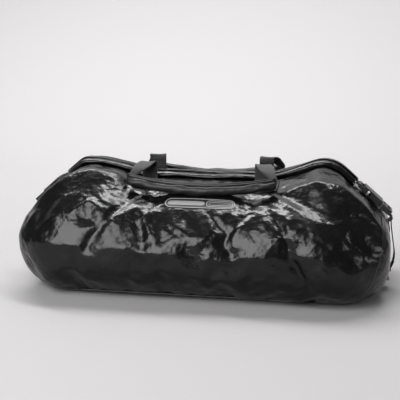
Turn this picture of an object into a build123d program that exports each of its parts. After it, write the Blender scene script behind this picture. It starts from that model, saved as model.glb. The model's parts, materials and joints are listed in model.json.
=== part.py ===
"""Dry bag: a horizontal roll-top duffel of coated tarpaulin, closed and standing half full.

Frame: millimetres, +X along the bag to its right-hand end, -Y towards its front, +Z up.
The origin is the middle of the flat base, on the floor. The shell is five welded panels
round a hollow inside. The rolled mouth lies along the ridge and bends down both shoulders
to a side-release buckle, whose webbing strap runs down the end panel to a sewn patch.
Front and rear carrying handles are webbing through a foam-cored sleeve.
"""

import math
import os

from build123d import *

# ------------------------------------------------------------------ the bag's outer shape
half_length = 302.0      # centre to the flat middle of an end panel
bag_depth = 330.0        # front to back at the widest
widest_z = 90.0          # height of the crease where the sides are widest
shoulder_x = 207.0       # where the ridge turns down towards the end
shoulder_z = 208.0       # height of the ridge there
ridge_sag = 28.0         # how far the ridge hangs between the shoulders
edge_z = 125.0           # top edge of the flat end
foot_z = 30.0            # lower edge of the flat end
belly_drop = 12.0        # how far the rounded belly would reach below the flat base
end_narrowing = 0.30     # share of the depth lost towards the end
narrow_power = 2.5       # the depth is lost mostly near the end
rise_power = 3           # and so is the belly's drop
belly_square = 0.6       # 1 is an ellipse, less is squarer below the crease
wall = 0.8               # coated tarpaulin
base_wall = 1.6          # double layer under the bag

# The end panel's weld, seen from the front, is an arc through these three points.
seam_top = (shoulder_x + 8.0, shoulder_z + 40.0)
seam_out = (half_length - 10.0, edge_z - 28.0)
seam_low = (shoulder_x + 18.0, -10.0)

# ------------------------------------------------------------------ webbing and clearances
gap = 0.3                # between soft pieces that lie on each other
patch_wall = 1.0         # welded reinforcement
patch_corner = 8.0       # radius of a patch's corners
web_wide = 25.0
web_thick = 1.6

# ------------------------------------------------------------------ roll closure
roll_wide = 40.0
roll_high = 22.0
roll_sunk = 6.0          # how far the roll lies below the ridge line
roll_wing = 48.0         # rolled length that bends down each shoulder
shoulder_bend = 40.0     # radius of that bend, on the roll's centre
sag_corner = 1.74        # the path's middle corner hangs this many sags down, outside its arc
arc_share = 0.85         # share of each leg that the sag's arc takes up
lip_wide = 26.0          # stiffener strip in each lip
lip_thick = 1.5
lip_apart = 1.0          # fabric between the two strips
lip_inset = 2.0          # strips end this far inside the roll

# ------------------------------------------------------------------ side-release buckle
buckle_wide = 34.0
buckle_thick = 12.0
buckle_lift = 6.8        # buckle's mid-plane above the shoulder
tab_long = 12.0          # webbing between the roll's end and the socket's bar
socket_long = 38.0       # socket without its webbing bar
socket_wall = 2.0        # above and below the hollow
socket_side = 3.0        # beside the hollow, and at its closed end
socket_round = 2.4
window_start = 8.0       # the side window, from the socket's closed end
window_long = 15.0
bar_frame = 9.0          # frame that carries the socket's webbing bar
frame_high = 6.0
bar_radius = 2.0
web_play = 0.8           # between the webbing's edge and the frame beside it
plug_reach = 24.0        # how far the prongs go into the socket
plug_clear = 0.4         # between the plug's shoulder and the socket's mouth
plug_high = 8.0
plug_round = 3.0
shoulder_long = 4.0      # solid part of the plug before its first slot
ladder_slot = 4.5
centre_bar = 5.0
centre_high = 3.0
end_bar = 4.5
end_bar_low = 0.5        # underside of the end bar, above the mid-plane
tongue_wide = 6.0
tongue_high = 5.0
prong_wide = 3.0
prong_high = 6.6
prong_setback = 2.0      # prongs are this much shorter than the tongue
catch_long = 10.0        # thicker tip of a prong
catch_wide = 4.5

# ------------------------------------------------------------------ strap, patch and ring on the end
strap_low = 52.0         # lower end of the closure strap
strap_bend = 8.0
strap_under = 4.2        # strap's depth below the buckle's mid-plane
tail_under = 1.4         # the returning tail's depth
strap_over = 2.8         # height where it passes over the middle bar
strap_turn = 1.6         # radius round the bar
strap_aside = 1.5        # its distance from the bar's face, beside it
tail_low = 60.0          # where the loose end of the strap hangs to
tail_out = 3.4           # tail's distance outside the strap
patch_low = 36.0
patch_high = 86.0
patch_wide = 60.0
ring_wire = 3.5
ring_corner = 2.5        # bend beside the straight bar
ring_flat = 3.0          # half the straight stretch at the ring's foot
loop_play = 4.0          # ring to loop, on each side
ring_wide = 30.0         # inside width is this less two wires
ring_high = 22.0
ring_z = 33.0            # the ring's straight bar
ring_loop_high = 49.0    # top of the loop that holds the ring

# ------------------------------------------------------------------ carrying handles
anchor_x = 95.0          # webbing centre line, from the middle of the bag
anchor_y = 36.0          # where the webbing leaves the bag
sewn_y = 66.0            # far end of the sewn webbing
anchor_patch_wide = 62.0
anchor_patch_margin = 8.0
stub_high = 24.0         # webbing standing up to the swing line
grip_half = 122.0        # half the grip's length
grip_out = 85.0          # distance of the grip's ends from the bag's middle plane
grip_bow = 12.0          # how far the grip bows away from the swing line
grip_radius = 7.5
sleeve_wall = 1.2
flange_wide = 5.0        # stitched edge of the sleeve
flange_thick = 2.4
flange_root = 1.0        # how far the flange reaches into the sleeve's wall
run_wide = 10.0          # webbing folded narrow inside the grip
run_thick = 3.2
run_past = 3.0           # it comes this far out of the grip's ends
riser_gap = 1.0          # grip's end to the webbing that rises beside it
foam_inset = 2.0         # foam stops this far inside the sleeve's ends
grip_rest_gap = 2.2      # grip to bag, at the grip's ends

# ------------------------------------------------------------------ blank label on the front
label_long = 115.0
label_high = 23.0
label_thick = 0.5
label_y = 110.0
label_x = 3.0

quarter_points = 7
far = 2 * (half_length + bag_depth)


def end_share(x):
    """0 between the shoulders, rising to 1 at the end panel's flat."""
    return max(0.0, (abs(x) - shoulder_x) / (half_length - shoulder_x))


def ridge_z(x):
    """Height of the bag's top line above the floor."""
    if abs(x) <= shoulder_x:
        return shoulder_z - ridge_sag * (1 - (x / shoulder_x) ** 2)
    return shoulder_z - (shoulder_z - edge_z) * end_share(x)


def half_depth(x):
    return bag_depth / 2 * (1 - end_narrowing * end_share(x) ** narrow_power)


def belly_z(x):
    return (foot_z + belly_drop) * end_share(x) ** rise_power - belly_drop


def top_z(x, y, offset=0.0):
    """Height of the upper surface at a point, offset outwards."""
    rise = ridge_z(x) + offset - widest_z
    return widest_z + rise * math.sqrt(1 - (y / (half_depth(x) + offset)) ** 2)


def quarter(x, offset, number):
    """A quarter of the bag's outline. 0 runs from the back's widest line up to the ridge."""
    upper = number < 2
    depth = half_depth(x) + offset
    rise = ridge_z(x) + offset - widest_z if upper else widest_z - belly_z(x) + offset
    square = 1.0 if upper else belly_square
    points = []
    for i in range(quarter_points):
        turn = math.pi / 2 * (number + i / (quarter_points - 1))
        c, s = round(math.cos(turn), 12), round(math.sin(turn), 12)
        y = depth * math.copysign(abs(c) ** square, c)
        points.append((x, y, widest_z + rise * math.copysign(abs(s) ** square, s)))
    headings = [(0, 0, 1), (0, -1, 0), (0, 0, -1), (0, 1, 0)]
    return Edge.make_spline(points, tangents=[headings[number], headings[(number + 1) % 4]])


def section(x, offset):
    """The bag's outline across its length: half an ellipse above, a squarer half below."""
    return Wire([quarter(x, offset, number) for number in range(4)])


def body(offset):
    """The whole bag as one closed solid, offset outwards."""
    run = half_length - shoulder_x
    out = [half_length, shoulder_x + 0.8 * run, shoulder_x + 0.55 * run, shoulder_x + 0.28 * run]
    inner = [share * shoulder_x for share in (1.0, 0.8, 0.6, 0.4, 0.2)]
    right = [0.0] + inner[::-1] + out[::-1]
    wires = []
    for x in [-x for x in right[:0:-1]] + right:
        grown = math.copysign(half_length + offset, x) if abs(x) == half_length else x
        wires.append(section(x, offset).translate(Vector(grown - x, 0, 0)))
    return Solid.make_loft(wires, ruled=True)


def box(x0, x1, y0, y1, z0, z1):
    return Pos((x0 + x1) / 2, (y0 + y1) / 2, (z0 + z1) / 2) * Box(x1 - x0, y1 - y0, z1 - z0)


def skin(inner, outer, region):
    """A curved sheet that lies on the bag between two offsets, trimmed to a region."""
    return (body(outer) & region) - body(inner)


def other_end(shape):
    return mirror(shape, about=Plane.YZ)


def other_side(shape):
    return mirror(shape, about=Plane.XZ)


def save(shape, name):
    """Writes one node; several solids are kept separate inside it."""
    solids = shape.solids()
    node = solids[0] if len(solids) == 1 else Compound(children=list(solids))
    node.label = name
    export_step(node, f"parts/{name}.step")


# ------------------------------------------------------------------ the shoulder's own plane
shoulder = Vector(shoulder_x, 0, shoulder_z)
slope = (Vector(half_length, 0, edge_z) - shoulder).normalized()
slope_up = Vector(-slope.Z, 0, slope.X)


def on_slope(s, n):
    """A point s mm down the right shoulder and n mm above it."""
    return shoulder + slope * s + slope_up * n


def buckle_plane(s):
    """Local x down the shoulder, y across the bag, z away from it."""
    return Plane(origin=on_slope(s, buckle_lift), x_dir=slope, z_dir=slope_up)


# ------------------------------------------------------------------ roll closure
roll_centre = roll_high / 2 - roll_sunk


def roll_path(shorter=0.0):
    """Centre line of the roll, from the left wing over the sagging ridge to the right wing."""
    end = on_slope(roll_wing - shorter, roll_centre)
    top = on_slope(0, roll_centre)
    corner = Vector(top.X, 0, shoulder_z + roll_centre)
    drop = sag_corner * ridge_sag
    low = Vector(0, 0, corner.Z - drop)
    points = [Vector(-end.X, 0, end.Z), Vector(-corner.X, 0, corner.Z), low, corner, end]
    sag_bend = arc_share * math.hypot(corner.X, drop) * corner.X / drop
    return FilletPolyline(*points, radius=[shoulder_bend, sag_bend, shoulder_bend])


def along(path, profile):
    """Sweeps a profile whose local x is the bag's depth and local y points away from the bag."""
    start = Plane(origin=path @ 0, x_dir=(0, 1, 0), z_dir=path % 0)
    return sweep(start * profile, path=path)


def roll_profile(grow=0.0):
    high = roll_high + 2 * grow
    return RectangleRounded(roll_wide + 2 * grow, high, high / 2 - 0.5)


def build_closure():
    lip_gap = 2 * lip_thick + lip_apart + 2 * gap
    slot = along(roll_path(), Rectangle(lip_wide + 2 * gap, lip_gap))
    rolled = along(roll_path(), roll_profile()) - slot
    save(rolled, "rolled_mouth")
    offset = (lip_apart + lip_thick) / 2
    for name, side in (("front_lip_stiffener", 1), ("rear_lip_stiffener", -1)):
        strip = Pos(0, side * offset, 0) * Rectangle(lip_wide, lip_thick)
        save(along(roll_path(lip_inset), strip), name)


# ------------------------------------------------------------------ welded shell
def end_zone():
    """Everything beyond the right end panel's weld."""
    weld = ThreePointArc((seam_low[0], 0, seam_low[1]), (seam_out[0], 0, seam_out[1]),
                         (seam_top[0], 0, seam_top[1]))
    rest = Polyline((seam_top[0], 0, seam_top[1]), (far, 0, seam_top[1]), (far, 0, seam_low[1]),
                    (seam_low[0], 0, seam_low[1]))
    face = Face(Wire([weld.edge(), *rest.edges()]))
    return extrude(face, amount=far / 2, dir=(0, 1, 0), both=True)


def build_shell():
    outer = body(0.0)
    inner = body(-wall)
    right_zone = end_zone()
    roll_room = along(roll_path(), roll_profile(gap))
    front_half = outer & box(-far, far, -far, 0, base_wall, far)
    front = front_half - right_zone - other_end(right_zone) - inner - roll_room
    save(front, "front_panel")
    save(other_side(front), "back_panel")
    save(outer & box(-far, far, -far, far, 0, base_wall), "base_panel")
    right_half = outer & box(0, far, -far, far, base_wall, far)
    right_end = (right_half & right_zone) - inner - roll_room
    save(right_end, "right_end_panel")
    save(other_end(right_end), "left_end_panel")


# ------------------------------------------------------------------ buckle, tab and strap
socket_start = roll_wing + tab_long - bar_frame / 2
mouth = bar_frame + socket_long
plug_start = mouth + plug_clear
slot_a = plug_start + shoulder_long
middle_bar = slot_a + ladder_slot
slot_b = middle_bar + centre_bar
last_bar = slot_b + ladder_slot
plug_end = last_bar + end_bar
inside_half = buckle_wide / 2 - socket_side
web_slot = web_wide / 2 + web_play


def flat_block(x0, x1, wide, high, y=0.0):
    """A block centred on the buckle's mid-plane, from x0 to x1 along it."""
    return box(x0, x1, y - wide / 2, y + wide / 2, -high / 2, high / 2)


def cross_bar(x, radius, wide):
    return Pos(x, 0, 0) * Rot(90, 0, 0) * Cylinder(radius, wide)


def build_socket():
    shell = flat_block(bar_frame, mouth, buckle_wide, buckle_thick)
    shell = fillet(shell.edges().filter_by(Axis.X), socket_round)
    room = buckle_thick - 2 * socket_wall
    window = bar_frame + window_start
    shell = shell - flat_block(bar_frame + socket_side, mouth + 1, 2 * inside_half, room)
    shell = shell - flat_block(window, window + window_long, 2 * buckle_wide, room)
    arm_wide = buckle_wide / 2 - web_slot
    for side in (-1, 1):
        shell = shell + flat_block(0, bar_frame + 1, arm_wide, frame_high, side * (web_slot + arm_wide / 2))
    return shell + cross_bar(bar_radius, bar_radius, 2 * web_slot + 2)


def build_plug():
    plug = flat_block(plug_start, plug_end, buckle_wide, plug_high)
    plug = fillet(plug.edges().filter_by(Axis.Z), plug_round)
    plug = plug - flat_block(slot_a, plug_end + 1, 2 * web_slot, plug_high + 1)
    plug = plug + flat_block(middle_bar, slot_b, 2 * web_slot + 2, centre_high)
    plug = plug + box(last_bar, plug_end, -web_slot - 1, web_slot + 1, end_bar_low, plug_high / 2)
    tip = mouth - plug_reach
    plug = plug + flat_block(tip, plug_start + 1, tongue_wide, tongue_high)
    prong_tip = tip + prong_setback
    outside = inside_half - gap
    prong_y = outside - prong_wide
    catch_y = outside - catch_wide / 2
    for side in (-1, 1):
        plug = plug + flat_block(prong_tip, plug_start + 1, prong_wide, prong_high, side * prong_y)
        plug = plug + flat_block(prong_tip, prong_tip + catch_long, catch_wide, prong_high, side * catch_y)
    return plug


def build_tab():
    """Webbing folded round the socket's bar, with both plies running to the roll's end."""
    eye = bar_radius + gap
    strip = flat_block(-tab_long + bar_frame / 2 + gap, bar_radius, web_wide, 2 * web_thick)
    loop = cross_bar(bar_radius, eye + web_thick, web_wide)
    return strip + loop - cross_bar(bar_radius, eye, web_wide + 1)


def build_buckle():
    place = buckle_plane(socket_start).location
    pieces = {"buckle_socket": build_socket(), "buckle_plug": build_plug(), "closure_tab": build_tab()}
    for name, shape in pieces.items():
        placed = place * shape
        save(placed, "right_" + name)
        save(other_end(placed), "left_" + name)


patch_face = half_length + patch_wall
strap_x = patch_face + gap + web_thick / 2


def build_strap():
    """Webbing from the patch up the end, under the buckle's bars, over the middle one and back."""
    frame = buckle_plane(socket_start)

    def local(u, w):
        point = frame.origin + slope * u + slope_up * w
        return Vector(point.X, 0, point.Z)

    def meets_upright(w, x):
        """Where a line w above the buckle's mid-plane crosses the upright at x."""
        start = local(0, w)
        return start + slope * ((x - start.X) / slope.X)

    rise_u = middle_bar - strap_aside
    fall_u = slot_b + strap_aside
    hang_x = strap_x + tail_out
    points = [
        Vector(strap_x, 0, strap_low),
        meets_upright(-strap_under, strap_x),
        local(rise_u, -strap_under),
        local(rise_u, strap_over),
        local(fall_u, strap_over),
        local(fall_u, -tail_under),
        meets_upright(-tail_under, hang_x),
        Vector(hang_x, 0, tail_low),
    ]
    path = FilletPolyline(*points, radius=[strap_bend] + [strap_turn] * 4 + [strap_bend])
    strap = along(path, Rectangle(web_wide, web_thick))
    save(strap, "right_closure_strap")
    save(other_end(strap), "left_closure_strap")


def build_end_patch():
    plate = box(half_length, patch_face, -patch_wide / 2, patch_wide / 2, patch_low, patch_high)
    plate = fillet(plate.edges().filter_by(Axis.X), patch_corner)
    save(plate, "right_strap_patch")
    save(other_end(plate), "left_strap_patch")


def build_ring():
    """D-ring that hangs from a folded webbing loop sewn to the patch."""
    wire_radius = ring_wire / 2
    eye = wire_radius + gap
    ring_x = patch_face + gap + eye + web_thick
    half = (ring_wide - ring_wire) / 2
    foot = ring_z - ring_high + ring_wire
    corners = [(ring_x, -half, ring_z), (ring_x, half, ring_z), (ring_x, half, foot), (ring_x, -half, foot)]
    path = FilletPolyline(*corners, radius=[ring_corner] * 2 + [half - ring_flat] * 2, close=True)
    start = Plane(origin=path @ 0, z_dir=path % 0)
    ring = sweep(start * Circle(wire_radius), path=path)
    save(ring, "right_d_ring")
    save(other_end(ring), "left_d_ring")

    loop_wide = 2 * (half - loop_play)
    flat = box(ring_x - eye - web_thick, ring_x - eye + web_thick, -loop_wide / 2, loop_wide / 2,
               ring_z, ring_loop_high)
    tube = Pos(ring_x, 0, ring_z) * Rot(90, 0, 0)
    loop = flat + tube * Cylinder(eye + web_thick, loop_wide) - tube * Cylinder(eye, loop_wide + 1)
    save(loop, "right_ring_loop")
    save(other_end(loop), "left_ring_loop")


# ------------------------------------------------------------------ handles
swing_z = top_z(anchor_x, anchor_y) + stub_high
grip_end_z = top_z(grip_half, grip_out, grip_radius + grip_rest_gap)
reach_out = Vector(0, -(grip_out - anchor_y), grip_end_z - swing_z)
grip_reach = reach_out.length
handle_out = reach_out.normalized()
handle_down = Vector(0, handle_out.Z, -handle_out.Y) * -1
handle_plane = Plane(origin=(0, -anchor_y, swing_z), x_dir=(1, 0, 0), z_dir=handle_down)


def grip_path(half):
    """The grip's bowed centre line, from x -half to half, in the handle's own plane."""
    bow = grip_bow * (half / grip_half) ** 2
    middle = grip_reach + grip_bow
    arc = ThreePointArc((-half, middle - bow), (0, middle), (half, middle - bow))
    return handle_plane.location * arc


def along_grip(half, profile):
    """Sweeps a profile whose local x points towards the swing line."""
    path = grip_path(half)
    start = Plane(origin=path @ 0, x_dir=(path % 0).cross(handle_down), z_dir=path % 0)
    return sweep(start * profile, path=path)


def build_handle():
    run = along_grip(grip_half + run_past, Rectangle(run_wide, run_thick))
    grip_foot = grip_reach - grip_radius - flange_wide - gap
    run_end = grip_reach + run_wide / 2
    near = grip_half + riser_gap
    outside = near + run_wide
    for side in (-1, 1):
        riser = Polyline(
            (side * (anchor_x - web_wide / 2), 0),
            (side * (anchor_x + web_wide / 2), 0),
            (side * outside, grip_foot),
            (side * outside, run_end),
            (side * near, run_end),
            (side * near, grip_foot),
            close=True,
        )
        sheet = extrude(handle_plane * make_face(riser), amount=web_thick / 2, both=True)
        edge = Pos(side * anchor_x, -anchor_y, swing_z) * Rot(0, 90, 0) * Cylinder(web_thick / 2, web_wide)
        run = run + sheet + edge
    foam_hole = Rectangle(run_wide + 2 * gap, run_thick + 2 * gap)
    foam = along_grip(grip_half - foam_inset, Circle(grip_radius - sleeve_wall - gap) - foam_hole)
    flange_middle = grip_radius + flange_wide / 2 - flange_root / 2
    flange = Pos(flange_middle, 0) * Rectangle(flange_wide + flange_root, flange_thick)
    sleeve = along_grip(grip_half, Circle(grip_radius) + flange - Circle(grip_radius - sleeve_wall))

    band = web_wide / 2
    anchors = None
    patches = None
    under_web = gap + patch_wall + gap
    for side in (-1, 1):
        middle = side * anchor_x
        sewn_region = box(middle - band, middle + band, -sewn_y, -anchor_y, widest_z, far)
        sewn = skin(under_web, under_web + web_thick, sewn_region)
        stub = box(middle - band, middle + band, -anchor_y - web_thick / 2, -anchor_y + web_thick / 2,
                   widest_z, swing_z - web_thick - gap) - body(under_web)
        patch_half = anchor_patch_wide / 2
        patch_region = box(middle - patch_half, middle + patch_half, -sewn_y - anchor_patch_margin,
                           -anchor_y + anchor_patch_margin, widest_z, far)
        patch_region = fillet(patch_region.edges().filter_by(Axis.Z), patch_corner)
        patch = skin(gap, gap + patch_wall, patch_region)
        anchors = sewn + stub if anchors is None else anchors + sewn + stub
        patches = patch if patches is None else patches + patch

    pieces = {
        "handle_webbing": run,
        "grip_foam": foam,
        "grip_sleeve": sleeve,
        "handle_anchors": anchors,
        "handle_patches": patches,
    }
    for name, shape in pieces.items():
        save(shape, "front_" + name)
        save(other_side(shape), "rear_" + name)


def build_label():
    """Blank stadium-shaped label welded under the front grip."""
    slant = top_z(label_x, label_y)
    lean = math.degrees(math.atan2(slant - top_z(label_x, label_y + 2), 2))
    plane = Pos(label_x, -label_y, slant) * Rot(90 - lean, 0, 0) * Rot(-90, 0, 0)
    outline = plane * Rot(90, 0, 0) * SlotOverall(label_long, label_high)
    region = extrude(outline, amount=12, both=True)
    save(skin(gap, gap + label_thick, region), "front_label")


os.makedirs("parts", exist_ok=True)
build_shell()
build_closure()
build_buckle()
build_strap()
build_end_patch()
build_ring()
build_handle()
build_label()
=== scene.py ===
# %% [markdown]
# # A roll-top dry bag, in Blender
# The bag is a slack tube of glossy coated tarpaulin with welded ends. Its mouth is rolled
# along the top and buckled down over each end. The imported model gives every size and
# place, so this lesson adds only what a designer would call the looks: the way coated
# fabric sags and creases, the webbing, the stitches, and what light does on them.

import json
import math

import bpy
import numpy as np
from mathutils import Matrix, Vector
from mathutils.bvhtree import BVHTree


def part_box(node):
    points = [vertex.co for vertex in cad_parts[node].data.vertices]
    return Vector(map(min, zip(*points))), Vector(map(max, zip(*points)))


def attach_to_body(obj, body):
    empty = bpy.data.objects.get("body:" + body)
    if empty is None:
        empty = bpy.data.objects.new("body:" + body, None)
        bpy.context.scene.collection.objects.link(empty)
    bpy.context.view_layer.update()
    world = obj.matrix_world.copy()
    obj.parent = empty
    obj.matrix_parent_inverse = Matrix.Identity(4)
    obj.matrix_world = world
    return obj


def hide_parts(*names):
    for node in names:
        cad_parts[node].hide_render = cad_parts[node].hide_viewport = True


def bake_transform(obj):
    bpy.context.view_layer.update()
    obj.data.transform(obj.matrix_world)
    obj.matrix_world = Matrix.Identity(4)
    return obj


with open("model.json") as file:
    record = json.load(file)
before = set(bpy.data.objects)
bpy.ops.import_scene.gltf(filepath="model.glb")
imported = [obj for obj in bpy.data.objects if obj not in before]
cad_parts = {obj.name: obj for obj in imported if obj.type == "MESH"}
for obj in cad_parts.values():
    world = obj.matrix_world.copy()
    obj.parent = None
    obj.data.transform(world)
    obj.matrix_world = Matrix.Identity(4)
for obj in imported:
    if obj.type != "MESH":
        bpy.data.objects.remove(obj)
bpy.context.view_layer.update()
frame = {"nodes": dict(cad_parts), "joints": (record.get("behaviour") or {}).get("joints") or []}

# %% [markdown]
# The bag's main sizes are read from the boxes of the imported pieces. The few that a box
# can't give, such as where the ridge turns down, are named here in metres.

# %% Sizes that the pieces share
end_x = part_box("right_end_panel")[1][0]
half_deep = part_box("back_panel")[1][1]
widest_z = 0.090
shoulder_x = 0.207
shoulder_z = 0.208
ridge_sag = 0.028
edge_z = 0.125
foot_z = 0.030
web_wide = 0.025
web_thick = 0.0016
swing_y = 0.036
swing_z = frame["joints"][0]["pos_m"][2]
anchor_x = 0.095


def end_share(x):
    return max(0.0, (abs(x) - shoulder_x) / (end_x - shoulder_x))


def ridge_z(x):
    """Height of the bag's top line, without the roll."""
    if abs(x) <= shoulder_x:
        return shoulder_z - ridge_sag * (1 - (x / shoulder_x) ** 2)
    return shoulder_z - (shoulder_z - edge_z) * end_share(x)


def slack_ridge(x):
    """The top line as it really hangs: eased at the shoulders and pulled down by the handles."""
    eased = float(np.mean([ridge_z(x + shift) for shift in np.linspace(-0.022, 0.022, 11)]))
    pulled = 0.006 * math.exp(-((abs(x) - 0.105) / 0.045) ** 2)
    right_peak = 0.004 * math.exp(-((x - 0.195) / 0.030) ** 2)
    left_drop = 0.003 * math.exp(-((x + 0.195) / 0.040) ** 2)
    return eased - pulled + right_peak - left_drop


def half_depth(x):
    return half_deep * (1 - 0.30 * end_share(x) ** 2.5)


def belly_z(x):
    return (foot_z + 0.012) * end_share(x) ** 3 - 0.012


print("half length", round(end_x, 4), "half depth", round(half_deep, 4), "swing line", round(swing_z, 4))

# %% [markdown]
# ## Shader groups
# Three effects are used by several finishes, so each is a node group: the crumple of a
# coated fabric, the weave of webbing, and the faint scuffing that every bag picks up.
# They put out heights and masks, and each finish mixes them with its own strengths.


# %% A small helper for node groups
def new_group(name, inputs, outputs):
    """An empty shader group with float inputs (name, value) and named outputs."""
    tree = bpy.data.node_groups.new(name, "ShaderNodeTree")
    for label, value in inputs:
        socket = tree.interface.new_socket(name=label, in_out="INPUT", socket_type="NodeSocketFloat")
        socket.default_value = value
    for label in outputs:
        tree.interface.new_socket(name=label, in_out="OUTPUT", socket_type="NodeSocketFloat")
    return tree, tree.nodes.new("NodeGroupInput"), tree.nodes.new("NodeGroupOutput")


def place(tree, kind, inputs=None, **settings):
    """Adds a node, sets its properties, and sets or links its inputs by name or number."""
    node = tree.nodes.new(kind)
    for key, value in settings.items():
        setattr(node, key, value)
    for key, value in (inputs or {}).items():
        if isinstance(value, bpy.types.NodeSocket):
            tree.links.new(value, node.inputs[key])
        else:
            node.inputs[key].default_value = value
    return node


def math_node(tree, operation, a, b=0.0, clamp=False):
    return place(tree, "ShaderNodeMath", {0: a, 1: b}, operation=operation, use_clamp=clamp).outputs[0]


print("node group helpers ready")

# %% The crumple group
def build_crumple():
    """Sharp little creases between flat facets, on warped object coordinates."""
    wanted = [("Facets per metre", 30.0), ("Warp", 0.5)]
    tree, enter, leave = new_group("crumple", wanted, ["Height", "Crest"])
    where = place(tree, "ShaderNodeTexCoord").outputs["Object"]
    scale = enter.outputs["Facets per metre"]
    half = math_node(tree, "MULTIPLY", scale, 0.45)
    bend = place(tree, "ShaderNodeTexNoise", {"Vector": where, "Scale": half, "Detail": 2.0})
    amount = math_node(tree, "DIVIDE", enter.outputs["Warp"], scale)
    shift = place(tree, "ShaderNodeVectorMath", {0: bend.outputs["Color"], 3: amount}, operation="SCALE")
    warped = place(tree, "ShaderNodeVectorMath", {0: where, 1: shift.outputs[0]}, operation="ADD").outputs[0]
    big = place(tree, "ShaderNodeTexVoronoi", {"Vector": warped, "Scale": scale}, feature="F1")
    twice = math_node(tree, "MULTIPLY", scale, 2.3)
    small = place(tree, "ShaderNodeTexVoronoi", {"Vector": warped, "Scale": twice}, feature="F1")
    soft = place(tree, "ShaderNodeTexNoise", {"Vector": warped, "Scale": scale, "Detail": 3.0})
    facets = math_node(tree, "ADD", big.outputs["Distance"],
                       math_node(tree, "MULTIPLY", small.outputs["Distance"], 0.3))
    height = math_node(tree, "ADD", facets, math_node(tree, "MULTIPLY", soft.outputs[0], 0.9))
    tree.links.new(height, leave.inputs["Height"])
    crest = math_node(tree, "SUBTRACT", big.outputs["Distance"], 0.45, clamp=True)
    tree.links.new(crest, leave.inputs["Crest"])
    return tree


crumple_group = build_crumple()
print("group", crumple_group.name, len(crumple_group.nodes), "nodes")


# %% The weave group
def build_weave():
    """Crossing threads. Across and Along are distances in metres along the two directions."""
    tree, enter, leave = new_group(
        "weave", [("Across", 0.0), ("Along", 0.0), ("Threads per metre", 900.0)], ["Height", "Shade"])
    turn = math_node(tree, "MULTIPLY", enter.outputs["Threads per metre"], math.pi)
    warp = math_node(tree, "SINE", math_node(tree, "MULTIPLY", enter.outputs["Across"], turn))
    weft = math_node(tree, "SINE", math_node(tree, "MULTIPLY", enter.outputs["Along"], turn))
    over = math_node(tree, "MULTIPLY", warp, weft)
    ribs = math_node(tree, "ABSOLUTE", warp)
    height = math_node(tree, "ADD", math_node(tree, "MULTIPLY", over, 0.5), ribs)
    tree.links.new(height, leave.inputs["Height"])
    shade = math_node(tree, "ADD", math_node(tree, "MULTIPLY", over, 0.25), 0.6, clamp=True)
    tree.links.new(shade, leave.inputs["Shade"])
    return tree


weave_group = build_weave()
print("group", weave_group.name, len(weave_group.nodes), "nodes")


# %% The scuff group
def build_scuff():
    """Soft patches and fine streaks where a surface has been rubbed."""
    tree, enter, leave = new_group("scuff", [("Patch scale", 9.0), ("Share", 0.4)], ["Mask", "Grain"])
    where = place(tree, "ShaderNodeTexCoord").outputs["Object"]
    patch = place(tree, "ShaderNodeTexNoise",
                  {"Vector": where, "Scale": enter.outputs["Patch scale"], "Detail": 4.0})
    streaks = place(tree, "ShaderNodeTexNoise", {"Vector": where, "Scale": 240.0, "Detail": 3.0})
    low = math_node(tree, "SUBTRACT", 0.75, math_node(tree, "MULTIPLY", enter.outputs["Share"], 0.4))
    picked = math_node(tree, "MULTIPLY", math_node(tree, "SUBTRACT", patch.outputs[0], low, clamp=True), 4.0)
    broken = math_node(tree, "MULTIPLY", picked, streaks.outputs[0], clamp=True)
    tree.links.new(broken, leave.inputs["Mask"])
    fine = place(tree, "ShaderNodeTexNoise", {"Vector": where, "Scale": 1400.0, "Detail": 2.0})
    tree.links.new(fine.outputs[0], leave.inputs["Grain"])
    return tree


scuff_group = build_scuff()
print("group", scuff_group.name, len(scuff_group.nodes), "nodes")

# %% [markdown]
# ## Finishes
# Coated tarpaulin is almost black, and what the eye reads is its gloss: a smooth plastic
# film over a woven scrim. So its colour is nearly flat and all the work is in roughness
# and bump. Webbing is the opposite: matt, with a weave that catches light rib by rib.


# %% Start a finish
def new_finish(name, colour, roughness, coat=0.0, metallic=0.0):
    material = bpy.data.materials.new(name)
    material.use_nodes = True
    tree = material.node_tree
    shader = next(n for n in tree.nodes if n.type == "BSDF_PRINCIPLED")
    shader.inputs["Base Color"].default_value = (*colour, 1.0)
    shader.inputs["Roughness"].default_value = roughness
    shader.inputs["Metallic"].default_value = metallic
    shader.inputs["Coat Weight"].default_value = coat
    shader.inputs["Coat Roughness"].default_value = 0.12
    return material, tree, shader


def group_node(tree, group, **values):
    node = place(tree, "ShaderNodeGroup", node_tree=group)
    for label, value in values.items():
        label = label.replace("_", " ")
        if isinstance(value, bpy.types.NodeSocket):
            tree.links.new(value, node.inputs[label])
        else:
            node.inputs[label].default_value = value
    return node


def blend_colours(tree, factor, a, b):
    node = place(tree, "ShaderNodeMix", data_type="RGBA")
    tree.links.new(factor, node.inputs[0])
    for number, colour in ((6, a), (7, b)):
        if isinstance(colour, bpy.types.NodeSocket):
            tree.links.new(colour, node.inputs[number])
        else:
            node.inputs[number].default_value = (*colour, 1.0)
    return node.outputs[2]


def bump(tree, height, strength, distance, normal=None):
    node = place(tree, "ShaderNodeBump", {"Height": height, "Strength": strength, "Distance": distance})
    if normal is not None:
        tree.links.new(normal, node.inputs["Normal"])
    return node.outputs[0]


print("finish helpers ready")

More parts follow.
